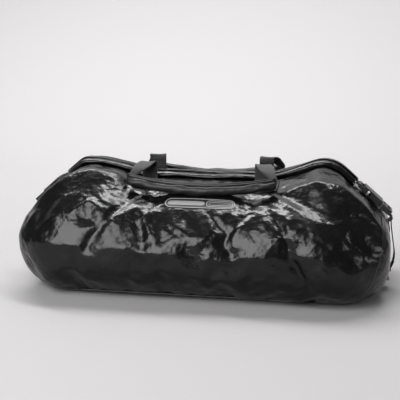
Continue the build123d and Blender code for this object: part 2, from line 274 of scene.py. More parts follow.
# %% Coated tarpaulin
def tarpaulin(name, colour, facets, depth, rough):
    """Glossy film over a scrim: crumple, a faint print of the weave, and scuffs."""
    material, tree, shader = new_finish(name, colour, rough)
    shader.inputs["Specular IOR Level"].default_value = 0.33
    folds = group_node(tree, crumple_group, Facets_per_metre=facets, Warp=0.7)
    scuffs = group_node(tree, scuff_group, Patch_scale=10.0, Share=0.45)
    parts = place(tree, "ShaderNodeSeparateXYZ", {0: place(tree, "ShaderNodeTexCoord").outputs["Object"]})
    scrim = group_node(tree, weave_group, Across=parts.outputs["X"], Along=parts.outputs["Z"],
                       Threads_per_metre=620.0)
    relief = bump(tree, folds.outputs["Height"], 1.0, depth)
    relief = bump(tree, scrim.outputs["Height"], 0.10, 0.0001, relief)
    relief = bump(tree, scuffs.outputs["Grain"], 0.12, 0.0002, relief)
    tree.links.new(relief, shader.inputs["Normal"])
    worn = tuple(min(1.0, c * 1.8 + 0.004) for c in colour)
    tint = blend_colours(tree, scuffs.outputs["Mask"], colour, worn)
    tree.links.new(tint, shader.inputs["Base Color"])
    dull = math_node(tree, "MULTIPLY", scuffs.outputs["Mask"], 0.22)
    grain = math_node(tree, "MULTIPLY", scuffs.outputs["Grain"], 0.10)
    total = math_node(tree, "ADD", math_node(tree, "ADD", dull, grain), rough - 0.05, clamp=True)
    tree.links.new(total, shader.inputs["Roughness"])
    return material


bag_cloth = tarpaulin("bag cloth", (0.0026, 0.0026, 0.0028), 58.0, 0.0011, 0.24)
flat_cloth = tarpaulin("patch cloth", (0.0050, 0.0050, 0.0053), 40.0, 0.0004, 0.27)
weld_cloth = tarpaulin("weld band", (0.012, 0.012, 0.0125), 60.0, 0.0004, 0.20)
print("tarpaulin finishes:", bag_cloth.name, flat_cloth.name, weld_cloth.name)

# %% Webbing, sleeve cloth and thread
def woven(name, colour, threads, rough, coords="UV"):
    """Ribbed weave. Ribbons carry their own map in metres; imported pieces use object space."""
    material, tree, shader = new_finish(name, colour, rough)
    if coords == "UV":
        parts = place(tree, "ShaderNodeSeparateXYZ", {0: place(tree, "ShaderNodeTexCoord").outputs["UV"]})
        across, along = parts.outputs["X"], parts.outputs["Y"]
    else:
        parts = place(tree, "ShaderNodeSeparateXYZ", {0: place(tree, "ShaderNodeTexCoord").outputs["Object"]})
        across, along = parts.outputs["Y"], parts.outputs["Z"]
    threadwork = group_node(tree, weave_group, Across=across, Along=along, Threads_per_metre=threads)
    scuffs = group_node(tree, scuff_group, Patch_scale=40.0, Share=0.5)
    dark = tuple(c * 0.45 for c in colour)
    tint = blend_colours(tree, threadwork.outputs["Shade"], dark, colour)
    tint = blend_colours(tree, scuffs.outputs["Mask"], tint, tuple(c * 2.0 + 0.01 for c in colour))
    tree.links.new(tint, shader.inputs["Base Color"])
    relief = bump(tree, threadwork.outputs["Height"], 0.8, 0.0004)
    relief = bump(tree, scuffs.outputs["Grain"], 0.3, 0.0002, relief)
    tree.links.new(relief, shader.inputs["Normal"])
    shader.inputs["Sheen Weight"].default_value = 0.15
    return material


webbing = woven("webbing", (0.010, 0.010, 0.0105), 620.0, 0.62)
webbing_packed = woven("webbing, packed pieces", (0.010, 0.010, 0.0105), 620.0, 0.62, coords="Object")
thread = woven("black thread", (0.03, 0.03, 0.031), 3000.0, 0.55, coords="Object")
pale_thread = woven("pale thread", (0.42, 0.42, 0.41), 3000.0, 0.6, coords="Object")
sleeve_cloth = tarpaulin("sleeve cloth", (0.0040, 0.0040, 0.0043), 90.0, 0.0005, 0.40)
print("woven finishes:", webbing.name, thread.name, pale_thread.name)


# %% Moulded plastic, metal, foam and the label's print
def plain_finish(name, colour, rough, grain, depth, metallic=0.0, coat=0.0, wear=0.2):
    """A solid material with fine grain, uneven gloss and paler worn patches."""
    material, tree, shader = new_finish(name, colour, rough, coat=coat, metallic=metallic)
    scuffs = group_node(tree, scuff_group, Patch_scale=60.0, Share=wear)
    worn = tuple(min(1.0, c * 1.5 + 0.012) for c in colour)
    tree.links.new(blend_colours(tree, scuffs.outputs["Mask"], colour, worn), shader.inputs["Base Color"])
    where = place(tree, "ShaderNodeTexCoord").outputs["Object"]
    fine = place(tree, "ShaderNodeTexNoise", {"Vector": where, "Scale": grain, "Detail": 3.0})
    tree.links.new(bump(tree, fine.outputs[0], 0.35, depth), shader.inputs["Normal"])
    uneven = math_node(tree, "MULTIPLY", fine.outputs[0], 0.16)
    tree.links.new(math_node(tree, "ADD", uneven, rough - 0.08, clamp=True), shader.inputs["Roughness"])
    return material


buckle_plastic = plain_finish("buckle plastic", (0.014, 0.014, 0.015), 0.38, 1500.0, 0.0001)
ring_metal = plain_finish("plated ring", (0.62, 0.62, 0.63), 0.28, 900.0, 0.00005, metallic=1.0)
strip_plastic = plain_finish("stiffener strip", (0.05, 0.05, 0.052), 0.45, 700.0, 0.0001)
label_base = plain_finish("label base", (0.012, 0.012, 0.0125), 0.34, 1800.0, 0.00008)
label_print = plain_finish("label print", (0.30, 0.30, 0.30), 0.45, 1800.0, 0.00005, wear=0.35)
label_field = plain_finish("label field", (0.20, 0.20, 0.20), 0.45, 1800.0, 0.00005, wear=0.35)
print("solid finishes:", buckle_plastic.name, ring_metal.name, label_print.name)

# %% [markdown]
# ## Helpers for making pieces
# Every piece is a mesh whose place is in its vertices, so a helper that takes plain
# numbers is all that is needed. Ribbons get a map in metres, which the weave reads.


# %% Mesh helpers
def make_piece(name, vertices, faces, material, smooth=True, maps=None):
    mesh = bpy.data.meshes.new(name)
    mesh.from_pydata([tuple(v) for v in vertices], [], faces)
    mesh.materials.append(material)
    mesh.polygons.foreach_set("use_smooth", [smooth] * len(mesh.polygons))
    if maps is not None:
        layer = mesh.uv_layers.new(name="metres")
        corners = np.zeros(len(mesh.loops), dtype=np.int64)
        mesh.loops.foreach_get("vertex_index", corners)
        layer.data.foreach_set("uv", np.asarray(maps, dtype=np.float32)[corners].ravel())
    mesh.update()
    piece = bpy.data.objects.new(name, mesh)
    bpy.context.scene.collection.objects.link(piece)
    return piece


def bake_modifiers(piece):
    """Replaces a piece's mesh with what its modifiers make of it, and removes them."""
    graph = bpy.context.evaluated_depsgraph_get()
    result = bpy.data.meshes.new_from_object(piece.evaluated_get(graph), depsgraph=graph)
    piece.modifiers.clear()
    old = piece.data
    piece.data = result
    bpy.data.meshes.remove(old)
    result.name = piece.name
    return piece


def points_of(piece):
    flat = np.zeros(len(piece.data.vertices) * 3)
    piece.data.vertices.foreach_get("co", flat)
    return flat.reshape(-1, 3)


def set_points(piece, points):
    piece.data.vertices.foreach_set("co", np.asarray(points, dtype=np.float32).ravel())
    piece.data.update()


def smooth_line(points, count):
    """A Catmull-Rom line through a few points, as evenly spaced points."""
    p = np.asarray(points, dtype=float)
    p = np.vstack([2 * p[0] - p[1], p, 2 * p[-1] - p[-2]])
    dense = []
    for i in range(1, len(p) - 2):
        for t in np.linspace(0, 1, 16, endpoint=False):
            a, b, c, d = p[i - 1], p[i], p[i + 1], p[i + 2]
            dense.append(0.5 * (2 * b + (c - a) * t + (2 * a - 5 * b + 4 * c - d) * t * t
                                + (3 * b - a - 3 * c + d) * t ** 3))
    dense.append(p[-2])
    return even_line(dense, count)


def even_line(points, count):
    p = np.asarray(points, dtype=float)
    steps = np.concatenate([[0], np.cumsum(np.linalg.norm(np.diff(p[:, :3], axis=0), axis=1))])
    wanted = np.linspace(0, steps[-1], count)
    return np.column_stack([np.interp(wanted, steps, p[:, k]) for k in range(p.shape[1])])


print("mesh helpers ready")

# %% Ribbons
def ribbon(name, spine, across, width, thick, material, crown=0.0):
    """A flat band along a line. across and width may change from point to point."""
    spine = np.asarray(spine, dtype=float)
    count = len(spine)
    across = np.broadcast_to(np.asarray(across, dtype=float), (count, 3))
    width = np.broadcast_to(np.asarray(width, dtype=float), (count,))
    thick = np.broadcast_to(np.asarray(thick, dtype=float), (count,))
    ahead = np.gradient(spine, axis=0)
    ahead /= np.linalg.norm(ahead, axis=1)[:, None]
    up = np.cross(across, ahead)
    up /= np.linalg.norm(up, axis=1)[:, None]
    side = np.cross(ahead, up)
    travelled = np.concatenate([[0], np.cumsum(np.linalg.norm(np.diff(spine, axis=0), axis=1))])
    shares = np.array([-1, -0.96, -0.5, 0, 0.5, 0.96, 1, 1, 0.96, 0.5, 0, -0.5, -0.96, -1]) * 0.5
    lifts = np.array([0.5, 1, 1, 1, 1, 1, 0.5, -0.5, -1, -1, -1, -1, -1, -0.5]) * 0.5
    ring = len(shares)
    vertices, maps, faces = [], [], []
    for i in range(count):
        for share, lift in zip(shares, lifts):
            bulge = crown * (1 - (2 * share) ** 2)
            vertices.append(spine[i] + side[i] * share * width[i] + up[i] * (lift * thick[i] + bulge))
            maps.append((share * width[i], travelled[i]))
    for i in range(count - 1):
        for k in range(ring):
            a, b = i * ring + k, i * ring + (k + 1) % ring
            faces.append((a, b, b + ring, a + ring))
    faces.append(tuple(range(ring))[::-1])
    faces.append(tuple((count - 1) * ring + k for k in range(ring)))
    return make_piece(name, vertices, faces, material, maps=maps)


print("ribbon helpers ready")

# %% [markdown]
# ## The stage, the light and the camera
# A pale sweep, one big soft light high in front, and a weak fill. Gloss shows what is
# around it, so the big light's place decides where the pale band runs along the bag.

# %% Stage
def build_stage():
    floor_y, wall_y, bend = -3.0, 1.7, 0.8
    outline = [(floor_y, 0.0)]
    for i in range(13):
        turn = math.pi / 2 * i / 12
        outline.append((wall_y - bend + bend * math.sin(turn), bend - bend * math.cos(turn)))
    outline.append((wall_y, 3.2))
    vertices = [(x, y, z - 0.0003) for x in (-4.0, 4.0) for y, z in outline]
    n = len(outline)
    faces = [(i, n + i, n + i + 1, i + 1) for i in range(n - 1)]
    paper = plain_finish("paper sweep", (0.35, 0.342, 0.345), 0.75, 300.0, 0.0001, wear=0.0)
    sweep = make_piece("paper_sweep", vertices, faces, paper)
    return sweep


build_stage()
print("paper sweep made")

# %% Lights
def add_light(name, place_at, aim, size, power, colour=(1, 1, 1)):
    light = bpy.data.lights.new(name, "AREA")
    light.shape = "RECTANGLE"
    light.size, light.size_y = size
    light.energy = power
    light.color = colour
    lamp = bpy.data.objects.new(name, light)
    lamp.location = place_at
    lamp.rotation_euler = (Vector(aim) - Vector(place_at)).to_track_quat("-Z", "Y").to_euler()
    bpy.context.scene.collection.objects.link(lamp)
    return lamp


add_light("soft_front", (-0.65, -1.50, 1.08), (0, 0, 0.1), (1.3, 1.60), 48.0)
add_light("overhead", (0.1, 0.95, 2.2), (0, 0.1, 0.1), (2.2, 0.9), 9.0)
add_light("soft_right", (2.2, -0.5, 0.9), (0.1, 0, 0.1), (0.5, 0.9), 6.0)
add_light("wall_wash", (-0.6, 0.9, 2.5), (-0.3, 1.7, 1.1), (3.4, 0.5), 132.0)
world = bpy.data.worlds.new("room")
world.use_nodes = True
room = next(n for n in world.node_tree.nodes if n.type == "BACKGROUND")
room.inputs["Color"].default_value = (0.95, 0.97, 1.0, 1.0)
room.inputs["Strength"].default_value = 0.10
bpy.context.scene.world = world
bpy.context.scene.view_settings.view_transform = "Standard"

# %% Camera
camera_turn, camera_rise, camera_far = math.radians(10.0), math.radians(12.0), 1.50
seen_wide = 0.690
aim_at = Vector((-0.016, 0.0, 0.139))
away = Vector((math.sin(camera_turn) * math.cos(camera_rise),
               -math.cos(camera_turn) * math.cos(camera_rise), math.sin(camera_rise)))
eye = bpy.data.cameras.new("camera")
eye.sensor_width = 36.0
eye.lens = 36.0 * camera_far / seen_wide
camera = bpy.data.objects.new("camera", eye)
camera.location = aim_at + away * camera_far
camera.rotation_euler = (-away).to_track_quat("-Z", "Y").to_euler()
bpy.context.scene.collection.objects.link(camera)
bpy.context.scene.camera = camera
print("lens", round(eye.lens, 1), "mm, camera at", [round(v, 3) for v in camera.location])

# %% [markdown]
# ## The bag's skin
# The real bag is five welded panels, but they act as one slack skin over what is inside.
# So the skin is one closed mesh: cross-sections along the length, each with the flat base
# it stands on, and rounded ends. Folds that the cut of the bag forces are listed one by
# one, and a short cloth simulation finds the small sags and creases between them.

# %% One cross-section of the bag
ring_points = 150
end_round = 0.014


def section(x, inset):
    """Evenly spaced points (y, z) once round the bag at x, from the ridge to the front."""
    deep = half_depth(x) - inset
    rise = slack_ridge(x) - inset - widest_z
    drop = widest_z - belly_z(x) - inset
    turn = np.linspace(0, 2 * math.pi, 721)
    c, s = np.cos(turn), np.sin(turn)
    up = c >= 0
    y = -deep * np.sign(s) * np.where(up, np.abs(s) ** 0.97, np.abs(s) ** 0.72)
    z = widest_z + np.where(up, rise * np.abs(c) ** 1.18, -drop * np.abs(c) ** 0.66)
    z = np.maximum(z, 0.0)
    return even_line(np.column_stack([y, z]), ring_points + 1)[:-1]


print("cross-section helpers ready")

# %% The skin's stations along the bag
def station_list():
    """(x, inset, share): inset rounds the end's edge, share shrinks the flat end to a point."""
    right = [(x, 0.0, 1.0) for x in np.linspace(0, end_x - end_round, 48)]
    for i in range(1, 6):
        turn = math.pi / 2 * i / 5
        right.append((end_x - end_round * (1 - math.sin(turn)), end_round * (1 - math.cos(turn)), 1.0))
    right += [(end_x, end_round, share) for share in np.linspace(1, 0.04, 15)[1:]]
    return [(-x, inset, share) for x, inset, share in right[:0:-1]] + right


def build_skin_mesh():
    stations = station_list()
    vertices = []
    for x, inset, share in stations:
        outline = section(x, inset)
        middle = np.array([0.0, 0.5 * (outline[:, 1].max() + outline[:, 1].min())])
        outline = middle + (outline - middle) * share
        vertices += [(x, y, z) for y, z in outline]
    faces = []
    n = ring_points
    for i in range(len(stations) - 1):
        for k in range(n):
            a, b = i * n + k, i * n + (k + 1) % n
            faces.append((a, b, b + n, a + n))
    poles = []
    for i, order in ((0, 1), (len(stations) - 1, -1)):
        ring = [i * n + k for k in range(n)]
        centre = np.mean([vertices[v] for v in ring], axis=0)
        poles.append(len(vertices))
        vertices.append(tuple(centre))
        for k in range(n):
            pair = (ring[k], ring[(k + 1) % n])
            faces.append((poles[-1], *pair[::-order]))
    return vertices, faces


skin_vertices, skin_faces = build_skin_mesh()
bag_skin = make_piece("bag_skin", skin_vertices, skin_faces, bag_cloth)
rest_points = points_of(bag_skin)
volume_sign = sum(Vector(rest_points[f[0]]).dot(Vector(rest_points[f[1]]).cross(Vector(rest_points[f[2]])))
                  for f in skin_faces)
if volume_sign < 0:
    bag_skin.data.flip_normals()
print("skin", len(skin_vertices), "points", "outward" if volume_sign > 0 else "turned outward")

# %% [markdown]
# ### Listed folds
# A crease in coated cloth is a ridge or a valley along a line that fades at its ends. Each
# fold is given by two points on the skin, a height and a spread. The list holds the few
# that the cut of the bag forces: the hard line where the sides are widest, the tucks under
# the roll's ends, and the drag lines that run down from the handles.


# %% Fold helpers
def side_point(x, z, side=-1):
    """A point on the unfolded front (side -1) or back (side 1) at x and height z."""
    z = min(z, ridge_z(x) - 0.001)
    span = ridge_z(x) - widest_z if z > widest_z else widest_z - belly_z(x)
    share = min(1.0, abs(z - widest_z) / span)
    power = 2.0 if z > widest_z else 2.6
    return np.array([x, side * half_depth(x) * (1 - share ** power) ** (1 / power), z])


def lift_by_folds(points, folds):
    """How far each point moves outwards, from every fold's ridge or valley."""
    lift = np.zeros(len(points))
    for start, end, height, spread in folds:
        run = end - start
        share = np.clip((points - start) @ run / (run @ run), 0, 1)
        apart = np.linalg.norm(points - (start + share[:, None] * run), axis=1)
        fade = 0.15 + 0.85 * np.sin(math.pi * np.clip(share, 0.02, 0.98)) ** 0.7
        lift += height * fade * np.exp(-(apart / spread) ** 1.35)
    return lift


def crease(x0, z0, x1, z1, height, spread, side=-1):
    return side_point(x0, z0, side), side_point(x1, z1, side), height, spread


def normals_of(points, faces):
    """Area-weighted normals, from the quads and the pole triangles."""
    total = np.zeros_like(points)
    quads = np.array([f for f in faces if len(f) == 4])
    cross = np.cross(points[quads[:, 2]] - points[quads[:, 0]], points[quads[:, 3]] - points[quads[:, 1]])
    for k in range(4):
        np.add.at(total, quads[:, k], cross)
    length = np.linalg.norm(total, axis=1)
    length[length == 0] = 1.0
    total /= length[:, None]
    centre = points.mean(axis=0)
    return total * np.sign(np.sum(total * (points - centre), axis=1).sum())


print("fold helpers ready")

# %% The folds
hand_folds = [
    # the hard line along the widest part: front, then back
    crease(-0.262, 0.096, -0.180, 0.094, 0.0055, 0.008),
    crease(-0.190, 0.094, -0.090, 0.092, 0.0060, 0.008),
    crease(-0.100, 0.090, 0.020, 0.083, 0.0060, 0.008),
    crease(0.010, 0.080, 0.066, 0.081, 0.0060, 0.008),
    crease(0.062, 0.086, 0.150, 0.090, 0.0060, 0.008),
    crease(0.140, 0.088, 0.205, 0.092, 0.0070, 0.008),
    crease(0.195, 0.094, 0.290, 0.068, 0.0080, 0.009),
    crease(-0.265, 0.092, 0.265, 0.088, 0.0050, 0.010, side=1),
    # the deep hollow between the right shoulder and that line
    crease(0.165, 0.166, 0.262, 0.120, -0.0190, 0.034),
    crease(0.235, 0.125, 0.275, 0.092, -0.0110, 0.016),
    crease(0.150, 0.092, 0.176, 0.046, -0.0070, 0.007),
    crease(0.188, 0.078, 0.220, 0.060, 0.0085, 0.014),
    crease(0.225, 0.074, 0.262, 0.056, 0.0060, 0.010),
    crease(0.095, 0.076, 0.140, 0.066, 0.0060, 0.011),
    # the left shoulder swells, with a shallow bowl beside it
    crease(-0.215, 0.188, -0.128, 0.184, 0.0130, 0.024),
    crease(-0.190, 0.140, -0.150, 0.132, -0.0070, 0.017),
    crease(-0.165, 0.156, -0.148, 0.128, 0.0040, 0.007),
    crease(-0.236, 0.160, -0.262, 0.112, -0.0080, 0.012),
    crease(-0.255, 0.140, -0.285, 0.112, 0.0050, 0.009),
    crease(-0.285, 0.070, -0.262, 0.022, -0.0120, 0.016),
    crease(-0.190, 0.200, -0.276, 0.118, -0.009, 0.015, side=1),
    crease(0.195, 0.198, 0.272, 0.110, -0.010, 0.015, side=1),
    # fabric that rises in front of the roll and its wings, and behind it
    crease(0.130, 0.178, 0.205, 0.190, 0.0080, 0.014),
    crease(0.205, 0.192, 0.288, 0.124, 0.0120, 0.016),
    crease(-0.205, 0.194, -0.288, 0.124, 0.0110, 0.016),
    crease(-0.060, 0.166, 0.060, 0.166, 0.0060, 0.015),
    crease(-0.060, 0.166, 0.060, 0.166, 0.0060, 0.015, side=1),
    # drag lines from the handles
    crease(-0.118, 0.160, -0.165, 0.100, -0.0045, 0.008),
    crease(-0.090, 0.150, -0.060, 0.102, 0.0040, 0.008),
    crease(0.112, 0.158, 0.150, 0.104, -0.0045, 0.008),
    crease(0.092, 0.150, 0.050, 0.100, 0.0035, 0.008),
    crease(0.128, 0.172, 0.160, 0.150, 0.0035, 0.005),
    crease(-0.100, 0.160, -0.150, 0.100, -0.0040, 0.010, side=1),
    crease(0.100, 0.160, 0.160, 0.104, -0.0040, 0.010, side=1),
    # slack just above the floor
    crease(-0.230, 0.034, -0.060, 0.026, -0.0020, 0.012),
    crease(0.020, 0.026, 0.220, 0.034, -0.0020, 0.012),
    crease(-0.200, 0.026, 0.200, 0.020, -0.0040, 0.011, side=1),
]


def scattered_folds(count, seed, low, high, lengths, heights, spreads):
    """Small creases at random places and headings on both long sides."""
    dice = np.random.default_rng(seed)
    found = []
    for _ in range(count):
        side = dice.choice([-1, 1])
        x, z = dice.uniform(-0.27, 0.27), dice.uniform(low, high)
        heading, reach = dice.uniform(0, math.pi), dice.uniform(*lengths) / 2
        dx, dz = reach * math.cos(heading), reach * 0.8 * math.sin(heading)
        height = dice.uniform(*heights) * dice.choice([-1, 1])
        ends = [np.clip(v, -0.285, 0.285) for v in (x - dx, x + dx)]
        tall = [np.clip(v, 0.006, 0.19) for v in (z - dz, z + dz)]
        found.append(crease(ends[0], tall[0], ends[1], tall[1], height, dice.uniform(*spreads), side))
    return found


lift = lift_by_folds(rest_points, hand_folds)
skin_normals = normals_of(rest_points, skin_faces)
folded = rest_points + skin_normals * lift[:, None]
folded[:, 2] = np.maximum(folded[:, 2], 0.0)
set_points(bag_skin, folded)
print("hand folds", len(hand_folds), "largest", round(1000 * np.abs(lift).max(), 1), "mm")

# %% [markdown]
# ### A short cloth simulation
# The tarpaulin is cut a little larger than the shape it fills, so it can't lie smooth. The
# simulation lets the skin grow by a few percent while it is held where it is sewn, where
# it stands and along the roll. Gravity is off and a light pressure stands for what is
# inside. No point may move more than a set distance from where it began.


# %% Where the skin is held
def near(points, centre, radius):
    return np.linalg.norm(points - np.asarray(centre), axis=1) < radius


def held_weights(points):
    """1 where the skin is fixed: under the roll, at anchors, label, ends and floor."""
    x, y, z = points.T
    held = (np.abs(y) < 0.026) & (z > 0.10)
    held |= z < 0.010
    for side in (-1, 1):
        for end in (-1, 1):
            held |= near(points, (end * anchor_x, side * 0.052, 0.178), 0.036)
        held |= (np.abs(x - side * end_x) < 0.002) & (np.abs(y) < 0.034)
    label_low, label_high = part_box("front_label")
    held |= ((x > label_low[0] - 0.002) & (x < label_high[0] + 0.002)
             & (y < label_high[1] + 0.004) & (y > label_low[1] - 0.004) & (z > widest_z))
    return held.astype(float)


print("hold rules ready")

# %% Run it
def simulate(piece, held, frames, growth, pressure, cap):
    start = points_of(piece)
    group = piece.vertex_groups.new(name="held")
    for index in np.nonzero(held > 0)[0]:
        group.add([int(index)], float(held[index]), "REPLACE")
    modifier = piece.modifiers.new("cloth", "CLOTH")
    cloth = modifier.settings
    cloth.quality = 6
    cloth.mass = 0.25
    cloth.air_damping = 3.0
    cloth.tension_stiffness = 30.0
    cloth.compression_stiffness = 30.0
    cloth.shear_stiffness = 12.0
    cloth.bending_stiffness = 1.6
    cloth.use_pressure = True
    cloth.uniform_pressure_force = pressure
    cloth.shrink_min = -growth
    cloth.shrink_max = -growth
    cloth.vertex_group_mass = "held"
    cloth.effector_weights.gravity = 0.0
    modifier.collision_settings.use_self_collision = False
    scene = bpy.context.scene
    scene.frame_start, scene.frame_end = 1, frames
    modifier.point_cache.frame_start, modifier.point_cache.frame_end = 1, frames
    for number in range(1, frames + 1):
        scene.frame_set(number)
    graph = bpy.context.evaluated_depsgraph_get()
    settled = piece.evaluated_get(graph).to_mesh()
    moved = np.zeros(len(settled.vertices) * 3)
    settled.vertices.foreach_get("co", moved)
    moved = moved.reshape(-1, 3) - start
    piece.evaluated_get(graph).to_mesh_clear()
    piece.modifiers.clear()
    piece.vertex_groups.clear()
    scene.frame_set(1)
    far = np.linalg.norm(moved, axis=1)
    moved *= (np.minimum(far, cap) / np.maximum(far, 1e-9))[:, None]
    set_points(piece, start + moved)
    return far


travelled = simulate(bag_skin, held_weights(folded), frames=24, growth=0.028, pressure=2.5, cap=0.012)
typical, most = round(1000 * travelled.mean(), 2), round(1000 * travelled.max(), 1)
print("cloth moved", typical, "mm on average, most", most)

# %% [markdown]
# ### Finer creases on the settled skin
# The simulated mesh is subdivided once, and the small sharp creases go in at the finer
# size. They are scattered with a fixed seed, mostly just above the hard line.

# %% Subdivide and crease
smoother = bag_skin.modifiers.new("finer", "SUBSURF")
smoother.levels = smoother.render_levels = 1
bake_modifiers(bag_skin)
fine_points = points_of(bag_skin)
fine_faces = [tuple(p.vertices) for p in bag_skin.data.polygons]
small_folds = scattered_folds(170, 5, 0.084, 0.165, (0.015, 0.060), (0.0007, 0.0020), (0.0022, 0.0050))
small_folds += scattered_folds(30, 9, 0.02, 0.08, (0.03, 0.090), (0.0004, 0.0010), (0.0040, 0.0080))
fine_lift = lift_by_folds(fine_points, small_folds)
fine_held = held_weights(fine_points)
fine_points = fine_points + normals_of(fine_points, fine_faces) * (fine_lift * (1 - fine_held))[:, None]
fine_points[:, 2] = np.maximum(fine_points[:, 2], 0.0)
set_points(bag_skin, fine_points)
bag_skin.data.polygons.foreach_set("use_smooth", [True] * len(bag_skin.data.polygons))
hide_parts("front_panel", "back_panel", "left_end_panel", "right_end_panel", "base_panel")
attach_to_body(bag_skin, "root")
print("skin faces", len(bag_skin.data.polygons))
skin_tree = BVHTree.FromPolygons([Vector(p) for p in fine_points], fine_faces)

# %% [markdown]
# ## Laying pieces on the skin
# Patches, sewn webbing, the label and the weld bands lie on cloth that is no longer a
# simple shape. Each is laid as a grid of points that are dropped onto the finished skin,
# then given its thickness, so it follows every fold beneath it.


# %% Drop points on the skin
def drop(origin, heading):
    """Where a straight line from origin first meets the skin, and the skin's normal there."""
    hit, normal, _, _ = skin_tree.ray_cast(Vector(origin), Vector(heading).normalized())
    if hit is None:
        hit, normal, _, _ = skin_tree.find_nearest(Vector(origin))
    if normal.dot(Vector(heading)) > 0:
        normal = -normal
    return np.array(hit), np.array(normal)


def settle_grid(points):
    """Evens out a grid of dropped points, so that stiff webbing bridges small creases."""
    smooth = points.copy()
    for _ in range(3):
        padded = np.pad(smooth, ((1, 1), (1, 1), (0, 0)), mode="edge")
        smooth = (padded[:-2, 1:-1] + padded[2:, 1:-1] + padded[1:-1, :-2] + padded[1:-1, 2:]
                  + 2 * smooth) / 6
    return smooth


def laid_sheet(name, middle, across, along, size, corner, heading, lift, thick, material, steps=(12, 24)):
    """A thin sheet dropped onto the skin. size is its width and length, corner its corner radius."""
    middle, across, along = (np.asarray(v, dtype=float) for v in (middle, across, along))
    width, length = size
    rows, columns = steps[1] + 1, steps[0] + 1
    grid, maps = np.zeros((rows, columns, 3)), np.zeros((rows, columns, 2))
    normals = np.zeros((rows, columns, 3))
    away = -np.asarray(heading, dtype=float) * 0.06
    for i in range(rows):
        v = 0.5 - 0.5 * math.cos(math.pi * i / (rows - 1))
        v = length * (v - 0.5)
        inside = max(0.0, abs(v) - (length / 2 - corner))
        half = width / 2 - (corner - math.sqrt(max(0.0, corner ** 2 - inside ** 2)))
        half = max(half, width * 0.02)
        for k in range(columns):
            u = half * (2 * k / (columns - 1) - 1)
            grid[i, k], normals[i, k] = drop(middle + across * u + along * v + away, heading)
            maps[i, k] = (u, v)
    normals = settle_grid(settle_grid(normals))
    normals /= np.linalg.norm(normals, axis=2)[:, :, None]
    base = settle_grid(grid) + normals * lift
    top = base + normals * thick
    n = rows * columns
    vertices = np.vstack([top.reshape(-1, 3), base.reshape(-1, 3)])
    maps = np.vstack([maps.reshape(-1, 2)] * 2)
    faces = []
    for i in range(rows - 1):
        for k in range(columns - 1):
            a = i * columns + k
            faces.append((a, a + 1, a + columns + 1, a + columns))
            faces.append((n + a, n + a + columns, n + a + columns + 1, n + a + 1))
    rim = [k for k in range(columns)] + [i * columns + columns - 1 for i in range(1, rows)]
    rim += [(rows - 1) * columns + k for k in range(columns - 2, -1, -1)]
    rim += [i * columns for i in range(rows - 2, 0, -1)]
    for a, b in zip(rim, rim[1:] + rim[:1]):
        faces.append((b, a, n + a, n + b))
    if np.cross(across, along) @ np.asarray(heading) > 0:
        faces = [f[::-1] for f in faces]
    piece = make_piece(name, vertices, faces, material, maps=maps)
    return piece, grid.reshape(-1, 3), top


def laid_line(points, headings, lift):
    """Points dropped on the skin and lifted off it, with the normals there."""
    found = [drop(p, h) for p, h in zip(points, headings)]
    normals = np.array([n for _, n in found])
    return np.array([hit + n * lift for hit, n in found]), normals


def join_pieces(name, parts):
    """Several meshes of one finish, as one piece."""
    vertices, faces, maps = [], [], []
    for part in parts:
        base = len(vertices)
        vertices += [tuple(v.co) for v in part.data.vertices]
        faces += [tuple(base + v for v in f.vertices) for f in part.data.polygons]
        uv = np.zeros((len(part.data.vertices), 2))
        if part.data.uv_layers:
            for loop, corner in zip(part.data.loops, part.data.uv_layers[0].data):
                uv[loop.vertex_index] = corner.uv
        maps += list(uv)
    material = parts[0].data.materials[0]
    for part in parts:
        bpy.data.objects.remove(part, do_unlink=True)
    return make_piece(name, vertices, faces, material, maps=maps)


print("drop helpers ready")

# %% [markdown]
# ## Stitches
# A stitch is a short thread that dips at both ends, repeated at an even pitch along a
# line. Geometry Nodes does exactly that: it divides each line by length, sets a small
# thread on every point, turns it along the line, and makes it real mesh.

# %% The stitch tree
def build_stitch_tree():
    tree = bpy.data.node_groups.new("stitch_row", "GeometryNodeTree")
    tree.interface.new_socket(name="Lines", in_out="INPUT", socket_type="NodeSocketGeometry")
    for label, value in (("Pitch", 0.0036), ("Stitch length", 0.0027), ("Thread radius", 0.0004)):
        socket = tree.interface.new_socket(name=label, in_out="INPUT", socket_type="NodeSocketFloat")
        socket.default_value = value
    tree.interface.new_socket(name="Thread", in_out="INPUT", socket_type="NodeSocketMaterial")
    tree.interface.new_socket(name="Stitches", in_out="OUTPUT", socket_type="NodeSocketGeometry")
    enter, leave = tree.nodes.new("NodeGroupInput"), tree.nodes.new("NodeGroupOutput")
    lines = place(tree, "GeometryNodeMeshToCurve", {"Mesh": enter.outputs["Lines"]})
    divided = place(tree, "GeometryNodeResampleCurve",
                    {"Curve": lines.outputs["Curve"], "Length": enter.outputs["Pitch"]}, mode="LENGTH")
    ball = place(tree, "GeometryNodeMeshUVSphere", {"Segments": 8, "Rings": 5, "Radius": 1.0})
    half = place(tree, "ShaderNodeMath", {0: enter.outputs["Stitch length"], 1: 0.5}, operation="MULTIPLY")
    radius = enter.outputs["Thread radius"]
    shape = place(tree, "ShaderNodeCombineXYZ", {0: radius, 1: radius, 2: half.outputs[0]})
    heading = place(tree, "GeometryNodeInputTangent")
    turned = place(tree, "FunctionNodeAlignRotationToVector", {"Vector": heading.outputs[0]}, axis="Z")
    rows = place(tree, "GeometryNodeInstanceOnPoints",
                 {"Points": divided.outputs["Curve"], "Instance": ball.outputs["Mesh"],
                  "Rotation": turned.outputs[0], "Scale": shape.outputs[0]})
    real = place(tree, "GeometryNodeRealizeInstances", {"Geometry": rows.outputs["Instances"]})
    done = place(tree, "GeometryNodeSetMaterial",
                 {"Geometry": real.outputs["Geometry"], "Material": enter.outputs["Thread"]})
    tree.links.new(done.outputs["Geometry"], leave.inputs["Stitches"])
    return tree


stitch_tree = build_stitch_tree()


